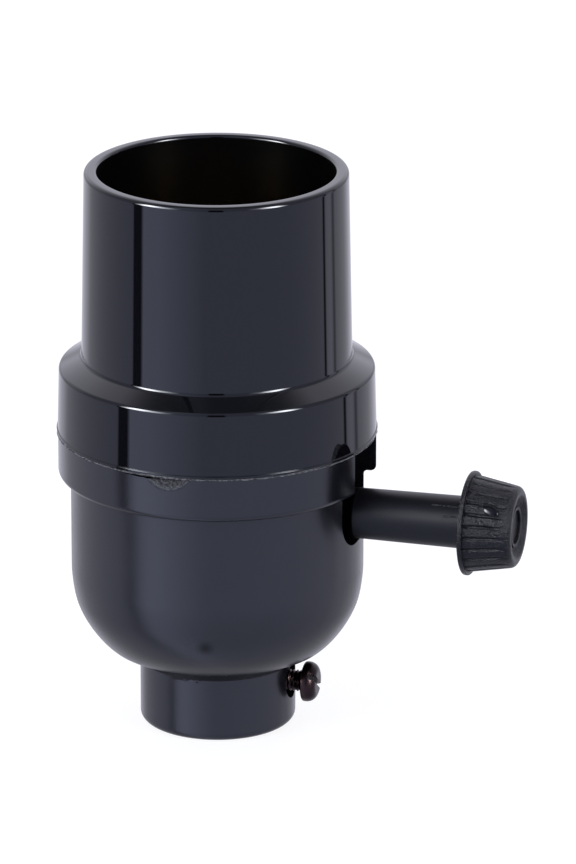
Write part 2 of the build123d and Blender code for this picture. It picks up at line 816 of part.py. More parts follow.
with BuildPart() as set_screw:
    with BuildSketch(set_plane.offset(set_tip_x)):
        Circle(set_screw_r)
    extrude(amount=set_head_x - set_tip_x)
    chamfer(set_screw.edges().filter_by(GeomType.CIRCLE).group_by(Axis.X)[0], set_screw_r / 4)
    with BuildSketch(set_plane.offset(set_head_x)):
        Circle(set_head_r)
    extrude(amount=set_head_height)
    fillet(set_screw.edges().filter_by(GeomType.CIRCLE).group_by(Axis.X)[-1], set_head_height * 0.7)
    with BuildSketch(set_plane.offset(set_head_x + set_head_height)):
        Rectangle(2 * set_head_r, set_slot_width, rotation=set_slot_turn)
    extrude(amount=-set_slot_depth, mode=Mode.SUBTRACT)
save(set_screw, "set_screw")
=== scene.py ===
from math import atan2, cos, hypot, pi, radians, sin, tan

import bmesh
import bpy
from mathutils import Matrix, Vector, noise


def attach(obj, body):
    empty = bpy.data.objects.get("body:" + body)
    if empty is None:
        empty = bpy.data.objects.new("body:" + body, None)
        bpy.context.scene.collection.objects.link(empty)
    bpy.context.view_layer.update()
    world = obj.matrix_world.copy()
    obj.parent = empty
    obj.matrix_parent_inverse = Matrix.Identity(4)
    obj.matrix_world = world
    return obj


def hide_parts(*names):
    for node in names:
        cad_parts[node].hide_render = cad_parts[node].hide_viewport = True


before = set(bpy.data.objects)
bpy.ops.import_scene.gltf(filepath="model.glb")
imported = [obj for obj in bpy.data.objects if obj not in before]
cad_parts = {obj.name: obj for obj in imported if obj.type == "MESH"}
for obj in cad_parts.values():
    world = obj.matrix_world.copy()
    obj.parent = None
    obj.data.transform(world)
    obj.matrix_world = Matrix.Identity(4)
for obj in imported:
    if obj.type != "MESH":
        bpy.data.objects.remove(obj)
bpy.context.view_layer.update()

# Camera and studio. A long lens looks a little down on the socket from its front. Round the socket
# stands a white tent, open above and at the lens, with two small lamps and three narrow dark gaps
# in its walls, whose reflections draw the streaks and crescents on the gloss.

scene = bpy.context.scene
scene.view_settings.view_transform = "Standard"
camera_aim = Vector((-0.2523, 0.9126, -0.3219))
camera_azimuth = atan2(-camera_aim.y, -camera_aim.x)

camera = bpy.data.objects.new("camera", bpy.data.cameras.new("camera"))
camera.data.lens = 314.0
camera.data.sensor_width = 36.0
camera.location = (0.2667, -0.9287, 0.3694)
camera.rotation_mode = "QUATERNION"
camera.rotation_quaternion = camera_aim.to_track_quat("-Z", "Y")
scene.collection.objects.link(camera)
scene.camera = camera


def add(tree, kind, inputs=None, **settings):
    """Adds a node with its settings, and gives its inputs a value or another node's output."""
    made = tree.nodes.new("ShaderNode" + kind)
    for setting, value in settings.items():
        setattr(made, setting, value)
    for socket, value in (inputs or {}).items():
        if isinstance(value, bpy.types.NodeSocket):
            tree.links.new(value, made.inputs[socket])
        else:
            made.inputs[socket].default_value = value
    return made


def calc(tree, operation, *values):
    """The result of one Math node."""
    return add(tree, "Math", dict(enumerate(values)), operation=operation).outputs[0]


def fade(tree, value, low, high):
    """0 where a value is below low, 1 where it is above high, and smooth between them."""
    limits = {"Value": value, "From Min": low, "From Max": high}
    return add(tree, "MapRange", limits, interpolation_type="SMOOTHSTEP").outputs[0]


def ramp(tree, factor, stops):
    """The colour that a ramp of (position, colour) stops gives to a factor."""
    made = add(tree, "ValToRGB", {"Fac": factor})
    elements = made.color_ramp.elements
    while len(elements) < len(stops):
        elements.new(1.0)
    for element, (position, colour) in zip(elements, stops):
        element.position = position
        element.color = (*colour, 1.0) if isinstance(colour, tuple) else (colour, colour, colour, 1.0)
    return made.outputs["Color"]


def mix(tree, factor, first, second, blend="MIX"):
    """One colour mixed into another."""
    inputs = {"Factor": factor, 6: first, 7: second}
    return add(tree, "Mix", inputs, data_type="RGBA", blend_type=blend).outputs[2]


world = bpy.data.worlds.new("studio")
scene.world = world
world.use_nodes = True
tree = world.node_tree
tree.nodes.clear()
outward = add(tree, "TexCoord").outputs["Generated"]
turned = add(
    tree, "VectorRotate", {"Vector": outward, "Angle": -camera_azimuth}, rotation_type="Z_AXIS"
).outputs[0]
parts = add(tree, "SeparateXYZ", {0: turned}).outputs
around = calc(tree, "ARCTAN2", parts["Y"], parts["X"])
place = calc(tree, "MULTIPLY_ADD", around, 0.5 / pi, 0.5)
aside = calc(tree, "ABSOLUTE", around)
# The walls have one even level. They are brighter behind and beside the right gap, and on a panel
# at the left, which fades towards the lens. Two gaps are dark and one is dim. Angles go round from
# the lens.
even, back, panel, dark, dim = 0.66, 0.86, 1.2, 0.05, 0.3
wall_stops = [
    (-146, back), (-137, even), (-76, even), (-75, dark), (-67, dark), (-65, panel), (-50, panel),
    (-10, even), (104, even), (105, dark), (107.5, dark), (108.5, back), (115, back), (118, even),
    (119, dim), (122, dim), (123, even), (142, even), (155, back),
]
walls = ramp(tree, place, [(angle / 360 + 0.5, level / panel) for angle, level in wall_stops])
front_tint, back_tint = (0.93, 1.0, 1.4, 1.0), (1.0, 1.0, 1.15, 1.0)
tint = mix(tree, fade(tree, aside, radians(45), radians(150)), front_tint, back_tint)
walls = mix(tree, 1.0, walls, tint, "MULTIPLY")
walls = mix(tree, 1.0, walls, (panel, panel, panel, 1.0), "MULTIPLY")
height = calc(tree, "MULTIPLY_ADD", parts["Z"], 0.5, 0.5)
level = ramp(tree, height, [(0.0, 0.7), (0.2, 0.8), (0.33, 1.0), (0.46, 1.0), (0.58, 0.75), (1.0, 0.7)])
walls = mix(tree, 1.0, walls, level, "MULTIPLY")
behind = calc(
    tree, "MULTIPLY", fade(tree, aside, radians(100), radians(140)), fade(tree, parts["Z"], 0.05, 0.2)
)
back_gain = 0.92
added = mix(tree, 1.0, walls, (back_gain, back_gain, back_gain, 1.0), "MULTIPLY")
walls = mix(tree, behind, walls, added, "ADD")


def disc(direction, edge, core):
    """1 within an angle of a direction, fading to 0 at a wider angle, both in degrees."""
    nearness = add(tree, "VectorMath", {0: turned, 1: direction}, operation="DOT_PRODUCT")
    return fade(tree, nearness.outputs["Value"], cos(radians(edge)), cos(radians(core)))


def between(tree, value, low, low_full, high_full, high):
    """1 between two inner limits, fading to 0 at the outer ones."""
    return calc(tree, "MULTIPLY", fade(tree, value, low, low_full), fade(tree, value, high, high_full))


roof = disc((-0.24, 0.0, 0.971), 30, 15)
roof_light = (0.155, 0.163, 0.185, 1.0)
tent = mix(tree, roof, walls, roof_light)
lens_rise = between(tree, parts["Z"], -0.16, -0.06, 0.58, 0.7)
lens_gap = calc(tree, "MULTIPLY", fade(tree, aside, radians(8), radians(5)), lens_rise)
lens_light = (0.01, 0.01, 0.012, 1.0)
tent = mix(tree, lens_gap, tent, lens_light)
lamp_stops = [
    (-74, 0.0), (-69, 0.4), (-66, 1.0), (-58, 0.9), (-50, 0.35), (-38, 0.06), (-32, 0.0),
    (28, 0.0), (38, 0.06), (46, 0.5), (51, 0.9), (56, 0.9), (60, 0.3), (65, 0.0),
]
lamp_side = ramp(tree, place, [(angle / 360 + 0.5, value) for angle, value in lamp_stops])
lamp_rise = between(tree, parts["Z"], 0.05, 0.18, 0.55, 0.68)
lamp_light = (30.0, 31.0, 33.0, 1.0)
lamp_spill = 0.2
lamps = mix(tree, 1.0, lamp_side, lamp_rise, "MULTIPLY")
lamps = mix(tree, 1.0, lamps, lamp_light, "MULTIPLY")
path = add(tree, "LightPath").outputs
mirrored = calc(tree, "MULTIPLY_ADD", path["Is Glossy Ray"], 1 - lamp_spill, lamp_spill)
lamps = mix(tree, 1.0, lamps, mirrored, "MULTIPLY")
light = mix(tree, 1.0, tent, lamps, "ADD")
seen = add(tree, "Background", {"Color": (1.0, 1.0, 1.0, 1.0), "Strength": 1.0})
lit = add(tree, "Background", {"Color": light, "Strength": 1.0})
shader = add(tree, "MixShader", {0: path["Is Camera Ray"], 1: lit.outputs[0], 2: seen.outputs[0]})
add(tree, "OutputWorld", {"Surface": shader.outputs[0]})

floor_half = 3.0
floor_drop = 0.00004
shape = bmesh.new()
below = Matrix.Translation((0, 0, -floor_drop))
bmesh.ops.create_grid(shape, x_segments=1, y_segments=1, size=floor_half, matrix=below)
mesh = bpy.data.meshes.new("floor")
shape.to_mesh(mesh)
shape.free()
floor = bpy.data.objects.new("floor", mesh)
scene.collection.objects.link(floor)
paper = bpy.data.materials.new("paper")
paper.use_nodes = True
tree = paper.node_tree
tree.nodes.clear()
path = add(tree, "LightPath").outputs
matt = add(tree, "BsdfDiffuse", {"Color": (0.25, 0.25, 0.25, 1.0)})
white = add(tree, "Emission", {"Color": (1.0, 1.0, 1.0, 1.0), "Strength": 0.87})
seen = add(tree, "AddShader", {0: matt.outputs[0], 1: white.outputs[0]})
bounce = add(tree, "BsdfDiffuse", {"Color": (0.8, 0.8, 0.8, 1.0)})
shader = add(tree, "MixShader", {0: path["Is Camera Ray"], 1: bounce.outputs[0], 2: seen.outputs[0]})
clear = add(tree, "BsdfTransparent")
shader = add(tree, "MixShader", {0: path["Is Glossy Ray"], 1: shader.outputs[0], 2: clear.outputs[0]})
add(tree, "OutputMaterial", {"Surface": shader.outputs[0]})
mesh.materials.append(paper)

# Lower shell: the black phenolic moulding with the band, the round dome and the neck. It is pressed
# hot, satin from its mould, with a slot for the stem at the seam and a hole for the set screw.

mm = 0.001
neck_r = 10.6
neck_height = 8.7
neck_round = 1.1
dome_height = 13.6
dome_arcs = ((17.8, radians(14.6)), (12.1, radians(37.4)), (2.2, radians(22.0)))
inner_arcs = ((14.7, radians(21.4)), (9.9, radians(45.9)))
body_r = 19.87
body_height = 13.1
band_r = 21.55
band_height = 6.15
band_round = 0.85
hollow_round = 0.5
seam_round = 0.12
shell_wall = 2.3
bushing_r = 6.4
base_thickness = 2.4
rabbet_depth = 3.05
dome_z = neck_height + dome_height
band_z = dome_z + body_height
seam_z = band_z + band_height
rabbet_z = seam_z - rabbet_depth
rabbet_r = band_r - shell_wall
cavity_r = body_r - shell_wall
base_z = neck_height + base_thickness
axis_z = seam_z - 10.35
slot_half = 5.6
slot_bottom = axis_z - 3.9
slot_corner = 3.8
slot_start = 12.6
screw_z = 6.15
screw_hole_r = 2.45
chip_width = 5.9
chip_depth = 1.5
chip_bite = 1.15
chip_way = radians(-92)
chip_coarse = 0.16
chip_fine = 0.1
scar_way = radians(-98)
scar_size = (5.6, 1.3, 0.5)
smudge_way = radians(-79)
smudge_out = 18.85
smudge_height = 16.7
smudge_r = 1.7
smudge_share = 0.5
# From this height up to the dome's underside the neck is painted dark: painted shade under the dome's
# overhang
neck_shade_z = 8.85
neck_shade_blur = 0.08
neck_shade_share = 0.65
ragged_from = radians(-122)
ragged_to = radians(-85)
ragged_fade = 0.05
ragged_depth = 0.4
round_steps = 256


def section(corners, rounds):
    """The closed half section of a turned piece: its corners (radius, height), some of them rounded."""
    drawn = bmesh.new()
    points = [Vector((radius, 0, height)) for radius, height in corners]
    verts = [drawn.verts.new(point) for point in points]
    for number, vert in enumerate(verts):
        drawn.edges.new((verts[number - 1], vert))
    for number, radius in rounds.items():
        before = points[number - 1] - points[number]
        after = points[(number + 1) % len(points)] - points[number]
        bmesh.ops.bevel(
            drawn,
            geom=[verts[number]],
            offset=radius / tan(before.angle(after) / 2),
            segments=10,
            profile=0.5,
            affect="VERTICES",
            material=-1,
        )
    bmesh.ops.remove_doubles(drawn, verts=drawn.verts, dist=0.001)
    return drawn


def turn(drawn, steps):
    """Turns a half section once round the Z axis, into a closed solid with its faces outwards."""
    bmesh.ops.spin(
        drawn,
        geom=drawn.verts[:] + drawn.edges[:],
        cent=(0, 0, 0),
        axis=(0, 0, 1),
        angle=2 * pi,
        steps=steps,
        use_merge=True,
    )
    bmesh.ops.remove_doubles(drawn, verts=drawn.verts, dist=0.001)
    bmesh.ops.recalc_face_normals(drawn, faces=drawn.faces)
    return drawn


def cut(body, tool, operation="DIFFERENCE"):
    """Takes a tool's shape out of a body, or joins it on, and gives back the new body."""
    objects = []
    for part in (body, tool):
        data = bpy.data.meshes.new("cut")
        part.to_mesh(data)
        part.free()
        objects.append(bpy.data.objects.new("cut", data))
        scene.collection.objects.link(objects[-1])
    modifier = objects[0].modifiers.new("cut", "BOOLEAN")
    modifier.operation = operation
    modifier.object = objects[1]
    modifier.solver = "EXACT"
    result = bmesh.new()
    result.from_object(objects[0], bpy.context.evaluated_depsgraph_get())
    for used in objects:
        bpy.data.meshes.remove(used.data)
    return result


def block(low, high):
    """A box between two corners."""
    low, high = Vector(low), Vector(high)
    made = bmesh.new()
    bmesh.ops.create_cube(made, size=1.0, matrix=Matrix.LocRotScale((low + high) / 2, None, high - low))
    return made


def rod(radius, start, end):
    """A closed round rod along X, between two places on it, at the set screw's height."""
    made = bmesh.new()
    place = Matrix.Translation(((start + end) / 2, 0, screw_z)) @ Matrix.Rotation(pi / 2, 4, "Y")
    bmesh.ops.create_cone(
        made,
        cap_ends=True,
        segments=48,
        radius1=radius,
        radius2=radius,
        depth=end - start,
        matrix=place,
    )
    return made


def finish(shape, name, material):
    """Makes a shape in millimetres an object in metres, smooth between its sharp edges."""
    bmesh.ops.scale(shape, vec=(mm, mm, mm), verts=shape.verts)
    mesh = bpy.data.meshes.new(name)
    shape.to_mesh(mesh)
    shape.free()
    mesh.materials.append(material)
    mesh.shade_smooth()
    mesh.set_sharp_from_angle(angle=radians(35))
    made = bpy.data.objects.new(name, mesh)
    scene.collection.objects.link(made)
    normals = made.modifiers.new("normals", "WEIGHTED_NORMAL")
    normals.keep_sharp = True
    return made


def group(name, inputs, outputs):
    """A new shader node group: its tree, what it is given, and what it puts out."""
    made = bpy.data.node_groups.new(name, "ShaderNodeTree")
    for label, value in inputs.items():
        socket = made.interface.new_socket(label, in_out="INPUT", socket_type="NodeSocketFloat")
        socket.default_value = value
    for label, kind in outputs.items():
        made.interface.new_socket(label, in_out="OUTPUT", socket_type=kind)
    return made, made.nodes.new("NodeGroupInput").outputs, made.nodes.new("NodeGroupOutput").inputs


# The skin of a moulding: a fine grain over a slow wave, both as a normal
skin, given, result = group(
    "moulded_skin",
    {"Grain Scale": 5000.0, "Grain": 0.1, "Wave": 0.1},
    {"Normal": "NodeSocketVector", "Tone": "NodeSocketFloat"},
)
where = add(skin, "TexCoord").outputs["Object"]
slow = add(skin, "TexNoise", {"Vector": where, "Scale": 180.0, "Detail": 1.0}).outputs["Fac"]
grain = {"Vector": where, "Scale": given["Grain Scale"], "Detail": 3.0}
fine = add(skin, "TexNoise", grain).outputs["Fac"]
waved = add(skin, "Bump", {"Strength": given["Wave"], "Distance": 0.0001, "Height": slow}).outputs[0]
grain = {"Strength": given["Grain"], "Distance": 0.0002, "Height": fine, "Normal": waved}
grained = add(skin, "Bump", grain).outputs[0]
skin.links.new(grained, result["Normal"])
skin.links.new(fine, result["Tone"])

# Dust: a few pale specks, each a small round cell of a sparse pattern
dust, given, result = group(
    "dust",
    {"Scale": 300.0, "Share": 0.1, "Size": 0.05},
    {"Mask": "NodeSocketFloat"},
)
where = add(dust, "TexCoord").outputs["Object"]
cells = add(dust, "TexVoronoi", {"Vector": where, "Scale": given["Scale"]}).outputs
chance = add(dust, "SeparateColor", {0: cells["Color"]}).outputs
chosen = calc(dust, "LESS_THAN", chance["Red"], given["Share"])
reach = calc(dust, "MULTIPLY", given["Size"], calc(dust, "ADD", chance["Green"], 0.3))
speck = calc(dust, "MULTIPLY", calc(dust, "LESS_THAN", cells["Distance"], reach), chosen)
dust.links.new(speck, result["Mask"])


def use(tree, node_group, **inputs):
    """Places a node group in a material, with values for its inputs."""
    made = tree.nodes.new("ShaderNodeGroup")
    made.node_tree = node_group
    for label, value in inputs.items():
        made.inputs[label.replace("_", " ").title()].default_value = value
    return made.outputs


def moulding(
    name,
    colour,
    roughness,
    grain_scale,
    grain,
    wave,
    ior=1.5,
    raw=None,
    pale=None,
    dull=None,
    bright=None,
):
    """Black phenolic: a satin or glossy skin with a little dust. Rules say where it is raw, which is
    rough and pale, where it is dull, which is darkened and loses its gloss, for a real smudge and for
    painted shade, and where it is bright, which is smoother."""
    material = bpy.data.materials.new(name)
    material.use_nodes = True
    tree = material.node_tree
    shader = tree.nodes["Principled BSDF"]
    surface = use(tree, skin, grain_scale=grain_scale, grain=grain, wave=wave)
    specks = use(tree, dust, scale=420.0, share=0.05, size=0.05)["Mask"]
    where = add(tree, "TexCoord").outputs["Object"]
    cloud = add(tree, "TexNoise", {"Vector": where, "Scale": 90.0, "Detail": 3.0}).outputs["Fac"]
    dark, light = (tuple(share * part for part in colour) for share in (0.75, 1.35))
    tone = ramp(tree, surface["Tone"], [(0.35, dark), (0.65, light)])
    tone = mix(tree, calc(tree, "MULTIPLY", specks, 0.5), tone, (0.3, 0.3, 0.32, 1.0))
    rough = ramp(tree, cloud, [(0.3, roughness * 0.9), (0.7, roughness * 1.1)])
    normal = surface["Normal"]
    if bright:
        polished = 0.6 * roughness
        rough = mix(tree, bright(tree, where), rough, (polished, polished, polished, 1.0))
    if raw:
        broken = add(tree, "TexNoise", {"Vector": where, "Scale": 4000.0, "Detail": 5.0}).outputs["Fac"]
        bare = raw(tree, where)
        mask = calc(tree, "MULTIPLY", bare, fade(tree, broken, 0.4, 0.62))
        tone = mix(tree, mask, tone, (*pale, 1.0))
        rough = mix(tree, bare, rough, (0.7, 0.7, 0.7, 1.0))
        height = calc(tree, "MULTIPLY", bare, broken)
        pits = {"Strength": 0.9, "Distance": 0.0002, "Height": height, "Normal": normal}
        normal = add(tree, "Bump", pits).outputs[0]
    if dull:
        # A black metal mirrors almost nothing, so Metallic takes the gloss away on dull skin; with the
        # dark tone this marks a real smudge, and paints shade where a rule asks for it
        smudge_and_shade = dull(tree, where)
        tone = mix(tree, smudge_and_shade, tone, (0.001, 0.001, 0.001, 1.0))
        rough = mix(tree, smudge_and_shade, rough, (0.8, 0.8, 0.8, 1.0))
        tree.links.new(smudge_and_shade, shader.inputs["Metallic"])
    tree.links.new(tone, shader.inputs["Base Color"])
    tree.links.new(rough, shader.inputs["Roughness"])
    tree.links.new(normal, shader.inputs["Normal"])
    shader.inputs["IOR"].default_value = ior
    return material


def curve(start, arcs):
    """The corners of a run of arcs going down and in, the place where they end, and the way there."""
    found, place, way = [], Vector(start), 0.0
    for radius, bend in arcs:
        reach = radius * tan(bend / 2)
        found.append(place + Vector((-sin(way), -cos(way))) * reach)
        way += bend
        place = found[-1] + Vector((-sin(way), -cos(way))) * reach
    return found, place, Vector((-sin(way), -cos(way)))


dome, dome_end, slope = curve((body_r, dome_z), dome_arcs)
under = dome_end + slope * ((dome_end.x - neck_r) / -slope.x)
inner_dome, inner_end, slope = curve((cavity_r, dome_z), inner_arcs)
inner_end += slope * ((inner_end.y - base_z) / -slope.y)
corners = [
    (bushing_r, 0), (neck_r, 0), under, *reversed(dome),
    (body_r, band_z), (band_r, band_z), (band_r, seam_z), (rabbet_r, seam_z), (rabbet_r, rabbet_z),
    (cavity_r, rabbet_z), *inner_dome, inner_end, (bushing_r, base_z),
]
dome_top, inner_top = 5, 12
rounds = {1: neck_round, 6: hollow_round, 7: band_round, 8: seam_round}
rounds |= {dome_top - number: radius for number, (radius, bend) in enumerate(dome_arcs)}
rounds |= {inner_top + number: radius for number, (radius, bend) in enumerate(inner_arcs)}
shape = turn(section(corners, rounds), round_steps)
slot = block((slot_start, -slot_half, slot_bottom), (band_r + 3, slot_half, seam_z + 3))
low_edges = [e for e in slot.edges if all(v.co.z < slot_bottom + 0.1 for v in e.verts)]
low_edges = [e for e in low_edges if abs(e.verts[0].co.x - e.verts[1].co.x) > 1]
bmesh.ops.bevel(
    slot, geom=low_edges, offset=slot_corner, segments=10, profile=0.5, affect="EDGES", material=-1
)
shape = cut(shape, slot)
shape = cut(shape, rod(screw_hole_r, bushing_r - 1, neck_r + 3))
chip_out = ((chip_width / 2) ** 2 - chip_bite**2) / (2 * chip_bite)
chip_up = ((chip_width / 2) ** 2 - chip_depth**2) / (2 * chip_depth)
chip_centre = Vector((cos(chip_way), sin(chip_way), 0)) * (band_r + chip_out)
chip_centre += Vector((0, 0, seam_z + chip_up))
chip_r = hypot(chip_width / 2, chip_out, chip_up)
chip = bmesh.new()
bmesh.ops.create_icosphere(chip, subdivisions=6, radius=chip_r, matrix=Matrix.Translation(chip_centre))
for vert in chip.verts:
    away = (vert.co - chip_centre).normalized()
    vert.co += away * (chip_coarse * noise.noise(vert.co * 3) + chip_fine * noise.noise(vert.co * 8))
smudge_centre = Vector((smudge_out * cos(smudge_way), smudge_out * sin(smudge_way), smudge_height))
scar_place = Matrix.Rotation(scar_way, 4, "Z") @ Matrix.Translation((band_r, 0, seam_z))
scar_place = scar_place @ Matrix.Diagonal((scar_size[1], scar_size[0], scar_size[2], 1))
scar = bmesh.new()
bmesh.ops.create_icosphere(scar, subdivisions=5, radius=1, matrix=scar_place)
for vert in scar.verts:
    vert.co.z += 0.1 * noise.noise(vert.co * 1.5)
shape = cut(shape, scar)
shape = cut(shape, chip)


def distance(tree, where, centre):
    """How far the surface is from a place given in millimetres."""
    return add(tree, "VectorMath", {0: where, 1: centre * mm}, operation="DISTANCE").outputs["Value"]


def chip_raw(tree, where):
    """The lower shell is raw inside its chip."""
    away = distance(tree, where, chip_centre)
    return fade(tree, away, (chip_r + 0.4) * mm, (chip_r + 0.2) * mm)


def satin_smudge_and_shade(tree, where):
    """The skin is dull in a smudge low on the dome's front. From a line on the neck up to the dome's
    underside it is painted dark, as painted shade under the dome's overhang, ragged on its left where
    crumbs of flash sit."""
    near = fade(tree, distance(tree, where, smudge_centre), smudge_r * mm, 0.0)
    smudge = calc(tree, "MULTIPLY", near, smudge_share)
    spot = add(tree, "SeparateXYZ", {0: where}).outputs
    angle = calc(tree, "ARCTAN2", spot["Y"], spot["X"])
    left = between(
        tree, angle, ragged_from, ragged_from + ragged_fade, ragged_to - ragged_fade, ragged_to
    )
    bits = add(tree, "TexNoise", {"Vector": where, "Scale": 1100.0, "Detail": 4.0}).outputs["Fac"]
    reach = calc(tree, "MULTIPLY", left, ragged_depth * mm)
    hang = calc(tree, "MULTIPLY", fade(tree, bits, 0.42, 0.62), reach)
    lowered = calc(tree, "ADD", spot["Z"], hang)
    above = fade(tree, lowered, (neck_shade_z - neck_shade_blur) * mm, (neck_shade_z + neck_shade_blur) * mm)
    on_neck = fade(tree, spot["Z"], (under.y + 0.2) * mm, under.y * mm)
    above = calc(tree, "MULTIPLY", above, on_neck)
    return calc(tree, "MAXIMUM", smudge, calc(tree, "MULTIPLY", above, neck_shade_share))


def band_bright(tree, where):
    """The band is smoother than the dome below it."""
    level = add(tree, "SeparateXYZ", {0: where}).outputs["Z"]
    return fade(tree, level, (band_z - 0.3) * mm, (band_z + 0.1) * mm)


satin = moulding(
    "phenolic_satin",
    (0.007, 0.007, 0.0085),
    roughness=0.25,
    grain_scale=5200.0,
    grain=0.08,
    wave=0.1,
    ior=1.6,
    raw=chip_raw,
    pale=(0.08, 0.08, 0.08),
    dull=satin_smudge_and_shade,
    bright=band_bright,
)
lower_shell = finish(shape, "lower_shell_moulding", satin)
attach(lower_shell, "socket")
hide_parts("lower_shell")

# Upper shell: the glossy phenolic barrel with its shoulder and band, and inside it the floor that
# carries the screw shell. A ragged rim of flash is left where its lower edge was trimmed.

upper_band_r = 21.6
upper_band_top_r = 21.37
upper_band_height = 9.0
lip_r = 21.78
lip_height = 0.42
shoulder_height = 1.63
barrel_base_r = 18.3
barrel_height = 25.87
rim_r = 17.8
rim_round = 0.45
edge_round = 0.6
bore_r = 16.0
mouth_depth = 10.65
well_r = 14.35
floor_lift = 2.45
floor_thickness = 4.6
shoulder_z = seam_z + upper_band_height
barrel_z = shoulder_z + shoulder_height
rim_z = barrel_z + barrel_height
floor_under_z = seam_z + floor_lift
floor_z = floor_under_z + floor_thickness
flash = 0.14
flash_in = 0.05
flash_skirt = 0.22
flash_bite = 0.7
seam_gap = 0.02
skirt_gap = 0.03
skirt_foot_gap = 0.05
bore_reach = bore_r + 0.02

corners = [
    (rabbet_r, seam_z + seam_gap), (band_r + skirt_gap, seam_z + seam_gap),
    (band_r + skirt_foot_gap, seam_z - flash_skirt), (lip_r, seam_z - flash_skirt),
    (lip_r - flash_in, seam_z - flash_skirt + flash), (lip_r - flash_in, seam_z + lip_height),
    (upper_band_r, seam_z + lip_height), (upper_band_top_r, shoulder_z), (barrel_base_r, barrel_z),
    (rim_r, rim_z), (bore_r, rim_z), (bore_r, rim_z - mouth_depth), (well_r, rim_z - mouth_depth),
    (well_r, floor_z), (0, floor_z), (0, floor_under_z), (rabbet_r, floor_under_z),
]
rounds = {5: 0.08, 6: 0.05, 7: edge_round, 8: edge_round, 9: edge_round, 10: rim_round}
shape = turn(section(corners, rounds), 3 * round_steps)
for vert in shape.verts:
    radius = hypot(vert.co.x, vert.co.y)
    if radius > band_r + 0.02 and vert.co.z < seam_z - flash_skirt / 2 + flash:
        ragged = noise.noise(vert.co * 0.9) + 0.7 * noise.noise(vert.co * 2.6)
        shrink = flash_bite * (radius - band_r - 0.04) * (0.5 - 0.5 * ragged) / radius
        vert.co.x *= 1 - max(0.0, shrink)
        vert.co.y *= 1 - max(0.0, shrink)
        vert.co.z += flash * (0.5 + 0.5 * noise.noise(vert.co * 1.7))


def flash_raw(tree, where):
    """The upper shell is raw along the flash at its lower edge."""
    level = add(tree, "SeparateXYZ", {0: where}).outputs["Z"]
    return fade(tree, level, (seam_z + 0.6 * flash) * mm, (seam_z - 0.2 * flash) * mm)


gloss = moulding(
    "phenolic_gloss",
    (0.0022, 0.0022, 0.003),
    roughness=0.025,
    grain_scale=3000.0,
    grain=0.001,
    wave=0.03,
    raw=flash_raw,
    pale=(0.19, 0.187, 0.18),
)
# The bore's skin is rougher than the barrel's, and its darker colour and low IOR paint the shade deep
# in the bore
bore_shade_skin = moulding(
    "phenolic_bore_painted_shade",
    (0.001, 0.001, 0.001),
    roughness=0.3,
    grain_scale=3000.0,
    grain=0.025,
    wave=0.1,
    ior=1.25,
)
upper_shell = finish(shape, "upper_shell_moulding", gloss)
upper_shell.data.materials.append(bore_shade_skin)
for face in upper_shell.data.polygons:
    if hypot(face.center.x, face.center.y) < bore_reach * mm:
        face.material_index = 1
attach(upper_shell, "socket")
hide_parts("upper_shell")

# Knob: a moulded phenolic grip with a thin flange, shallow flutes and a dished end with a plain
# ring, matt and grainy from its mould, with one glossy drop of resin left on its side. It is pressed
# on the spindle, behind the stem.

knob_x = 35.2
knob_end = knob_x + 7.0
flange_r = 7.07
flange_thickness = 0.65
grip_base_r = 6.58
grip_end_r = 5.45
grip_round = 0.85
bowl_r = 4.35
bowl_depth = 0.75
knob_ring_r = 2.3
spindle_r = 1.5
spindle_bite = 5.0
flute_count = 24
flute_half = 0.27
flute_depth = 0.26
flute_stop = 0.45
flute_run = 2.2
ring_width = 0.5
ring_height = 0.4
grip_x = knob_x + flange_thickness
bowl_foot_r = 3.3
ring_x = knob_end - bowl_depth + ring_height
drop_x = 39.3
drop_out = 5.93
drop_way = radians(142)
drop_lean = radians(-22)
drop_size = (1.25, 0.7, 0.35)

corners = [
    (spindle_r, knob_x), (flange_r, knob_x), (flange_r, grip_x), (grip_base_r, grip_x),
    (grip_end_r, knob_end), (bowl_r, knob_end), (bowl_foot_r, knob_end - bowl_depth),
    (knob_ring_r + ring_width, knob_end - bowl_depth), (knob_ring_r + ring_width, ring_x),
    (knob_ring_r, ring_x), (knob_ring_r, knob_end - bowl_depth), (0, knob_end - bowl_depth),
    (0, knob_x + spindle_bite), (spindle_r, knob_x + spindle_bite),
]
rounds = {1: 0.2, 2: 0.2, 4: grip_round, 5: 0.25, 6: 1.4, 8: 0.12, 9: 0.12}
shape = section(corners, rounds)
long_edges = [e for e in shape.edges if e.calc_length() > 3 and min(v.co.x for v in e.verts) > 4]
bmesh.ops.subdivide_edges(shape, edges=long_edges, cuts=24)
shape = turn(shape, flute_count * 20)
step = 2 * pi / flute_count
for vert in shape.verts:
    radius = hypot(vert.co.x, vert.co.y)
    along = knob_end - flute_stop - vert.co.z
    if grip_end_r - 0.6 < radius < grip_base_r + 0.01 and vert.co.z > grip_x - 0.01 and along > 0:
        angle = atan2(vert.co.y, vert.co.x) % step
        across = min(angle, step - angle) * radius / flute_half
        if across < 1:
            shrink = flute_depth * (1 - across**2) * min(1.0, along / flute_run) / radius
            vert.co.x *= 1 - shrink
            vert.co.y *= 1 - shrink
lay = Matrix.Translation((0, 0, axis_z)) @ Matrix.Rotation(pi / 2, 4, "Y")
bmesh.ops.transform(shape, matrix=lay, verts=shape.verts)
grainy = moulding(
    "knob_plastic",
    (0.0035, 0.0035, 0.0045),
    roughness=0.28,
    grain_scale=4300.0,
    grain=1.0,
    wave=0.2,
    ior=1.35,
)
knob = finish(shape, "knob_moulding", grainy)
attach(knob, "knob")
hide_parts("knob")

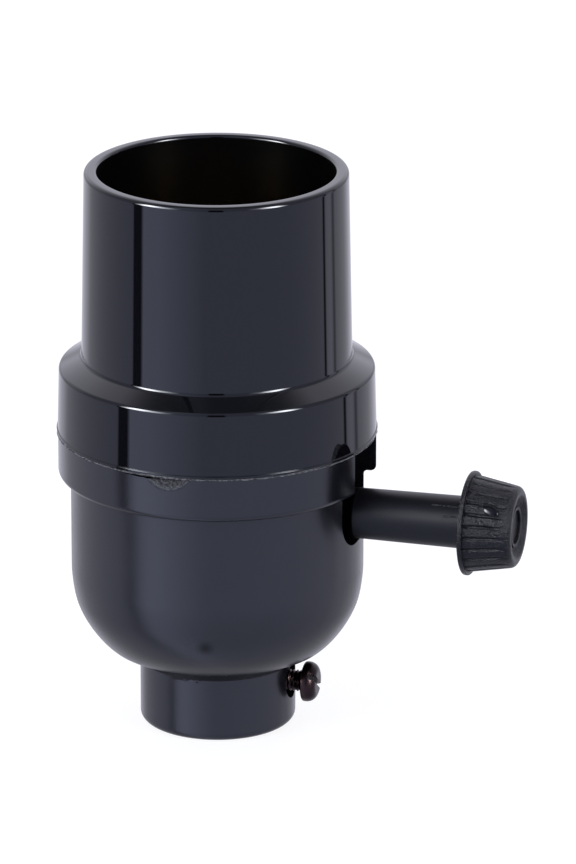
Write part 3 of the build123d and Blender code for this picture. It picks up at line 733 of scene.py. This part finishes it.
drop_centre = Vector((drop_x, drop_out * cos(drop_way), axis_z + drop_out * sin(drop_way)))
drop_place = Matrix.Translation(drop_centre) @ Matrix.Rotation(drop_way - pi / 2, 4, "X")
drop_place = drop_place @ Matrix.Rotation(drop_lean, 4, "Z") @ Matrix.Diagonal((*drop_size, 1))
shape = bmesh.new()
bmesh.ops.create_icosphere(shape, subdivisions=5, radius=1, matrix=drop_place)
wet = moulding(
    "knob_drop_resin",
    (0.002, 0.002, 0.003),
    roughness=0.16,
    grain_scale=3000.0,
    grain=0.01,
    wave=0.3,
    ior=1.36,
)
drop = finish(shape, "knob_drop", wet)
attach(drop, "knob")

# Stem sleeve: a moulded insulating tube over the spindle, that turns in the switch block and widens
# a little towards the knob. Its mould's parting line shows along its top.

stem_start = 5.75
stem_shoulder = 13.0
journal_r = 3.2
stem_inner_r = 3.38
stem_outer_r = 3.57
# Up to here, inside the slot, the stem is painted dark as shade
slot_shade_end = 19.8
slot_shade_blur = 0.15
stem_marks = ((radians(126), 30.6, 35.1), (radians(151), 32.4, 34.2))
mark_edge = radians(1.8)
mark_core = radians(0.8)

corners = [
    (spindle_r, stem_start), (journal_r, stem_start), (journal_r, stem_shoulder),
    (stem_inner_r, stem_shoulder), (stem_outer_r, knob_x), (spindle_r, knob_x),
]
shape = turn(section(corners, {3: 0.15}), 144)
bmesh.ops.transform(shape, matrix=lay, verts=shape.verts)


def stem_lines(tree, where):
    """The mould's parting line near the top of the stem's end, and a short scratch below it."""
    spot = add(tree, "SeparateXYZ", {0: where}).outputs
    rise = calc(tree, "SUBTRACT", spot["Z"], axis_z * mm)
    angle = calc(tree, "ARCTAN2", rise, spot["Y"])
    marks = []
    for way, start, end in stem_marks:
        off = calc(tree, "ABSOLUTE", calc(tree, "SUBTRACT", angle, way))
        line = fade(tree, off, mark_edge, mark_core)
        low = calc(tree, "GREATER_THAN", spot["X"], start * mm)
        high = calc(tree, "LESS_THAN", spot["X"], end * mm)
        marks.append(calc(tree, "MULTIPLY", line, calc(tree, "MULTIPLY", low, high)))
    return calc(tree, "MAXIMUM", *marks)


def stem_slot_shade(tree, where):
    """Inside the slot the stem is painted dark and loses its gloss: painted shade, where the shell
    shades it.
    """
    along = add(tree, "SeparateXYZ", {0: where}).outputs["X"]
    return fade(tree, along, (slot_shade_end + slot_shade_blur) * mm, (slot_shade_end - slot_shade_blur) * mm)


stem_plastic = moulding(
    "stem_plastic",
    (0.004, 0.004, 0.005),
    roughness=0.4,
    grain_scale=5000.0,
    grain=0.03,
    wave=0.25,
    ior=1.36,
    raw=stem_lines,
    pale=(0.1, 0.1, 0.11),
    dull=stem_slot_shade,
)
stem = finish(shape, "stem_moulding", stem_plastic)
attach(stem, "knob")
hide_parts("stem_sleeve")

# Screw shell: thin brass, rolled with the bulb's round thread, flared a little at the top and
# turned in at the bottom, where two screws clamp it to the floor.

thread_major_r = 13.3
thread_depth = 0.85
thread_pitch = 3.63
brass_wall = 0.4
shell_height = 18.4
shell_hole_r = 6.2
flare_out = 0.55
flare_in = 0.35
shell_top = floor_z + shell_height
crest = thread_depth / 2
middle_r = thread_major_r - crest

corners = [
    (shell_hole_r, floor_z), (middle_r + brass_wall, floor_z), (middle_r + brass_wall, shell_top - 0.5),
    (middle_r + brass_wall + flare_out, shell_top), (middle_r + flare_in, shell_top),
    (middle_r, shell_top - 0.6), (middle_r, floor_z + brass_wall), (shell_hole_r, floor_z + brass_wall),
]
shape = section(corners, {1: 1.4, 2: 0.6, 5: 0.8, 6: 1.0})
long_edges = [e for e in shape.edges if e.calc_length() > 12]
bmesh.ops.subdivide_edges(shape, edges=long_edges, cuts=90)
shape = turn(shape, 120)


def thread(shape, pitch, depth, start, end, run):
    """Rolls a screw thread into the walls of a turned shape, fading over a run at both ends."""
    for vert in shape.verts:
        radius = hypot(vert.co.x, vert.co.y)
        along = min(vert.co.z - start, end - vert.co.z) / run
        if along > 0 and radius > 1e-6:
            phase = 2 * pi * vert.co.z / pitch - atan2(vert.co.y, vert.co.x)
            grow = depth * sin(phase) * min(1.0, along) / radius
            vert.co.x *= 1 + grow
            vert.co.y *= 1 + grow


thread(shape, thread_pitch, crest, floor_z + 1.3, shell_top - 1.2, thread_pitch / 2)
bmesh.ops.recalc_face_normals(shape, faces=shape.faces)


def metal(name, colour, dull, roughness):
    """Bare or plated metal: its colour clouds a little, and its roughness with it."""
    material = bpy.data.materials.new(name)
    material.use_nodes = True
    tree = material.node_tree
    shader = tree.nodes["Principled BSDF"]
    where = add(tree, "TexCoord").outputs["Object"]
    cloud = add(tree, "TexNoise", {"Vector": where, "Scale": 220.0, "Detail": 4.0}).outputs["Fac"]
    fine = add(tree, "TexNoise", {"Vector": where, "Scale": 900.0, "Detail": 3.0}).outputs["Fac"]
    tone = ramp(tree, cloud, [(0.35, colour), (0.7, dull)])
    tree.links.new(tone, shader.inputs["Base Color"])
    rough = ramp(tree, fine, [(0.3, roughness * 0.8), (0.7, roughness * 1.3)])
    tree.links.new(rough, shader.inputs["Roughness"])
    bump = add(tree, "Bump", {"Strength": 0.12, "Distance": 0.00004, "Height": fine})
    tree.links.new(bump.outputs[0], shader.inputs["Normal"])
    shader.inputs["Metallic"].default_value = 1.0
    return material


shell_brass = metal("shell_brass", (0.66, 0.46, 0.19), (0.46, 0.31, 0.12), 0.3)
screw_shell = finish(shape, "screw_shell_rolled", shell_brass)
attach(screw_shell, "socket")
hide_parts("screw_shell")

# Set screw: steel, browned, with a fine thread and a domed head with one slot. It goes through the
# neck's clearance hole into the brass insert, and grips the lamp's pipe.

set_tip = 4.95
set_head = neck_r + 1.7
set_head_height = 1.9
set_head_r = 2.75
set_r = 1.5
set_pitch = 0.5
set_thread_depth = 0.22
set_point = 0.45
set_overlap = 0.1
set_slot = 0.8
set_slot_turn = radians(-35)
head_end = set_head + set_head_height


def ridge(vert, pitch):
    """0 in the root of a fine thread and 1 on its crest, for a point of a turned shape."""
    turns = vert.co.z / pitch - atan2(vert.co.y, vert.co.x) / (2 * pi)
    return 1 - abs(2 * (turns % 1) - 1)


corners = [
    (0, set_tip), (set_r * 0.7, set_tip), (set_r, set_tip + set_point),
    (set_r, set_head + set_overlap), (0, set_head + set_overlap),
]
shape = section(corners, {})
long_edges = [e for e in shape.edges if e.calc_length() > 3 and min(v.co.x for v in e.verts) > 1]
bmesh.ops.subdivide_edges(shape, edges=long_edges, cuts=110)
shape = turn(shape, 40)
for vert in shape.verts:
    radius = hypot(vert.co.x, vert.co.y)
    if radius > set_r - 0.01:
        depth = set_thread_depth * ridge(vert, set_pitch) ** 0.8
        vert.co.x *= 1 - depth / radius
        vert.co.y *= 1 - depth / radius
corners = [(0, set_head), (set_head_r, set_head), (set_head_r, head_end), (0, head_end)]
head = turn(section(corners, {1: 0.25, 2: set_head_height * 0.72}), 72)
slot = block((-set_slot / 2, -4, head_end - set_slot), (set_slot / 2, 4, head_end + 1))
slot_lay = Matrix.Rotation(set_slot_turn, 4, "Z")
bmesh.ops.transform(slot, matrix=slot_lay, verts=slot.verts)
head = cut(head, slot)
shape = cut(shape, head, "UNION")
lay_screw = Matrix.Translation((0, 0, screw_z)) @ Matrix.Rotation(pi / 2, 4, "Y")
bmesh.ops.transform(shape, matrix=lay_screw, verts=shape.verts)
browned = metal("dark_bronze", (0.05, 0.032, 0.03), (0.02, 0.014, 0.015), 0.27)
set_screw = finish(shape, "set_screw_turned", browned)
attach(set_screw, "set_screw")
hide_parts("set_screw")

# Neck bushing: a turned brass insert in the neck, tapped for the lamp's pipe and, across, for the
# set screw. The neck is moulded round its collar.

bushing_bore_r = 4.85
bushing_top = base_z + 0.6
collar_r = 7.4
collar_z = bushing_top * 0.55
pipe_pitch = 0.94
pipe_depth = 0.28

corners = [
    (bushing_bore_r, 0), (bushing_r, 0), (bushing_r, collar_z), (collar_r, collar_z),
    (collar_r, collar_z + 1.6), (bushing_r, collar_z + 1.6), (bushing_r, bushing_top),
    (bushing_bore_r + 0.4, bushing_top), (bushing_bore_r, bushing_top - 0.4),
]
shape = section(corners, {})
long_edges = [e for e in shape.edges if e.calc_length() > 10]
bmesh.ops.subdivide_edges(shape, edges=long_edges, cuts=110)
shape = turn(shape, 72)
for vert in shape.verts:
    radius = hypot(vert.co.x, vert.co.y)
    if radius < bushing_bore_r + 0.01 and 0.3 < vert.co.z < bushing_top - 0.5:
        depth = pipe_depth * ridge(vert, pipe_pitch)
        vert.co.x *= 1 + depth / radius
        vert.co.y *= 1 + depth / radius
contact_brass = metal("contact_brass", (0.74, 0.53, 0.22), (0.5, 0.34, 0.14), 0.3)
bushing = finish(shape, "neck_bushing_turned", contact_brass)
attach(bushing, "socket")
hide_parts("neck_bushing")

# The pieces inside: the switch block with its rotor, springs and terminals, and the fixings on the
# floor. Their solids stay as they are, each in its own finish.

plated = metal("plated_metal", (0.62, 0.61, 0.58), (0.45, 0.44, 0.42), 0.28)
steel = metal("steel", (0.5, 0.5, 0.51), (0.36, 0.36, 0.37), 0.3)
block_phenolic = moulding(
    "block_phenolic",
    (0.012, 0.011, 0.01),
    roughness=0.35,
    grain_scale=4000.0,
    grain=0.04,
    wave=0.2,
)


def fibre_board():
    """Vulcanised fibre: a dull red-brown board, with short fibres pressed into it."""
    material = bpy.data.materials.new("fibre")
    material.use_nodes = True
    tree = material.node_tree
    shader = tree.nodes["Principled BSDF"]
    where = add(tree, "TexCoord").outputs["Object"]
    where = add(tree, "Mapping", {"Vector": where, "Scale": (1.0, 6.0, 1.0)}).outputs[0]
    strands = add(tree, "TexNoise", {"Vector": where, "Scale": 700.0, "Detail": 5.0}).outputs["Fac"]
    tone = ramp(tree, strands, [(0.35, (0.11, 0.035, 0.022)), (0.65, (0.19, 0.075, 0.045))])
    tree.links.new(tone, shader.inputs["Base Color"])
    rough = ramp(tree, strands, [(0.3, 0.6), (0.7, 0.8)])
    tree.links.new(rough, shader.inputs["Roughness"])
    bump = add(tree, "Bump", {"Strength": 0.2, "Distance": 0.00005, "Height": strands})
    tree.links.new(bump.outputs[0], shader.inputs["Normal"])
    return material


fibre = fibre_board()
inner_finishes = {
    "switch_block": block_phenolic,
    "rotor": block_phenolic,
    "switch_cover": fibre,
    "thrust_washer": fibre,
    "center_contact": contact_brass,
    "center_blade": contact_brass,
    "contact_rivet": contact_brass,
    "shell_rivet": contact_brass,
    "rotor_contact": contact_brass,
    "hot_terminal": contact_brass,
    "hot_screw": contact_brass,
    "neutral_terminal": plated,
    "neutral_screw": plated,
    "assembly_screws": steel,
    "spindle": steel,
    "detent_spring": steel,
}
for node, material in inner_finishes.items():
    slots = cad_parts[node].data.materials
    slots.clear()
    slots.append(material)
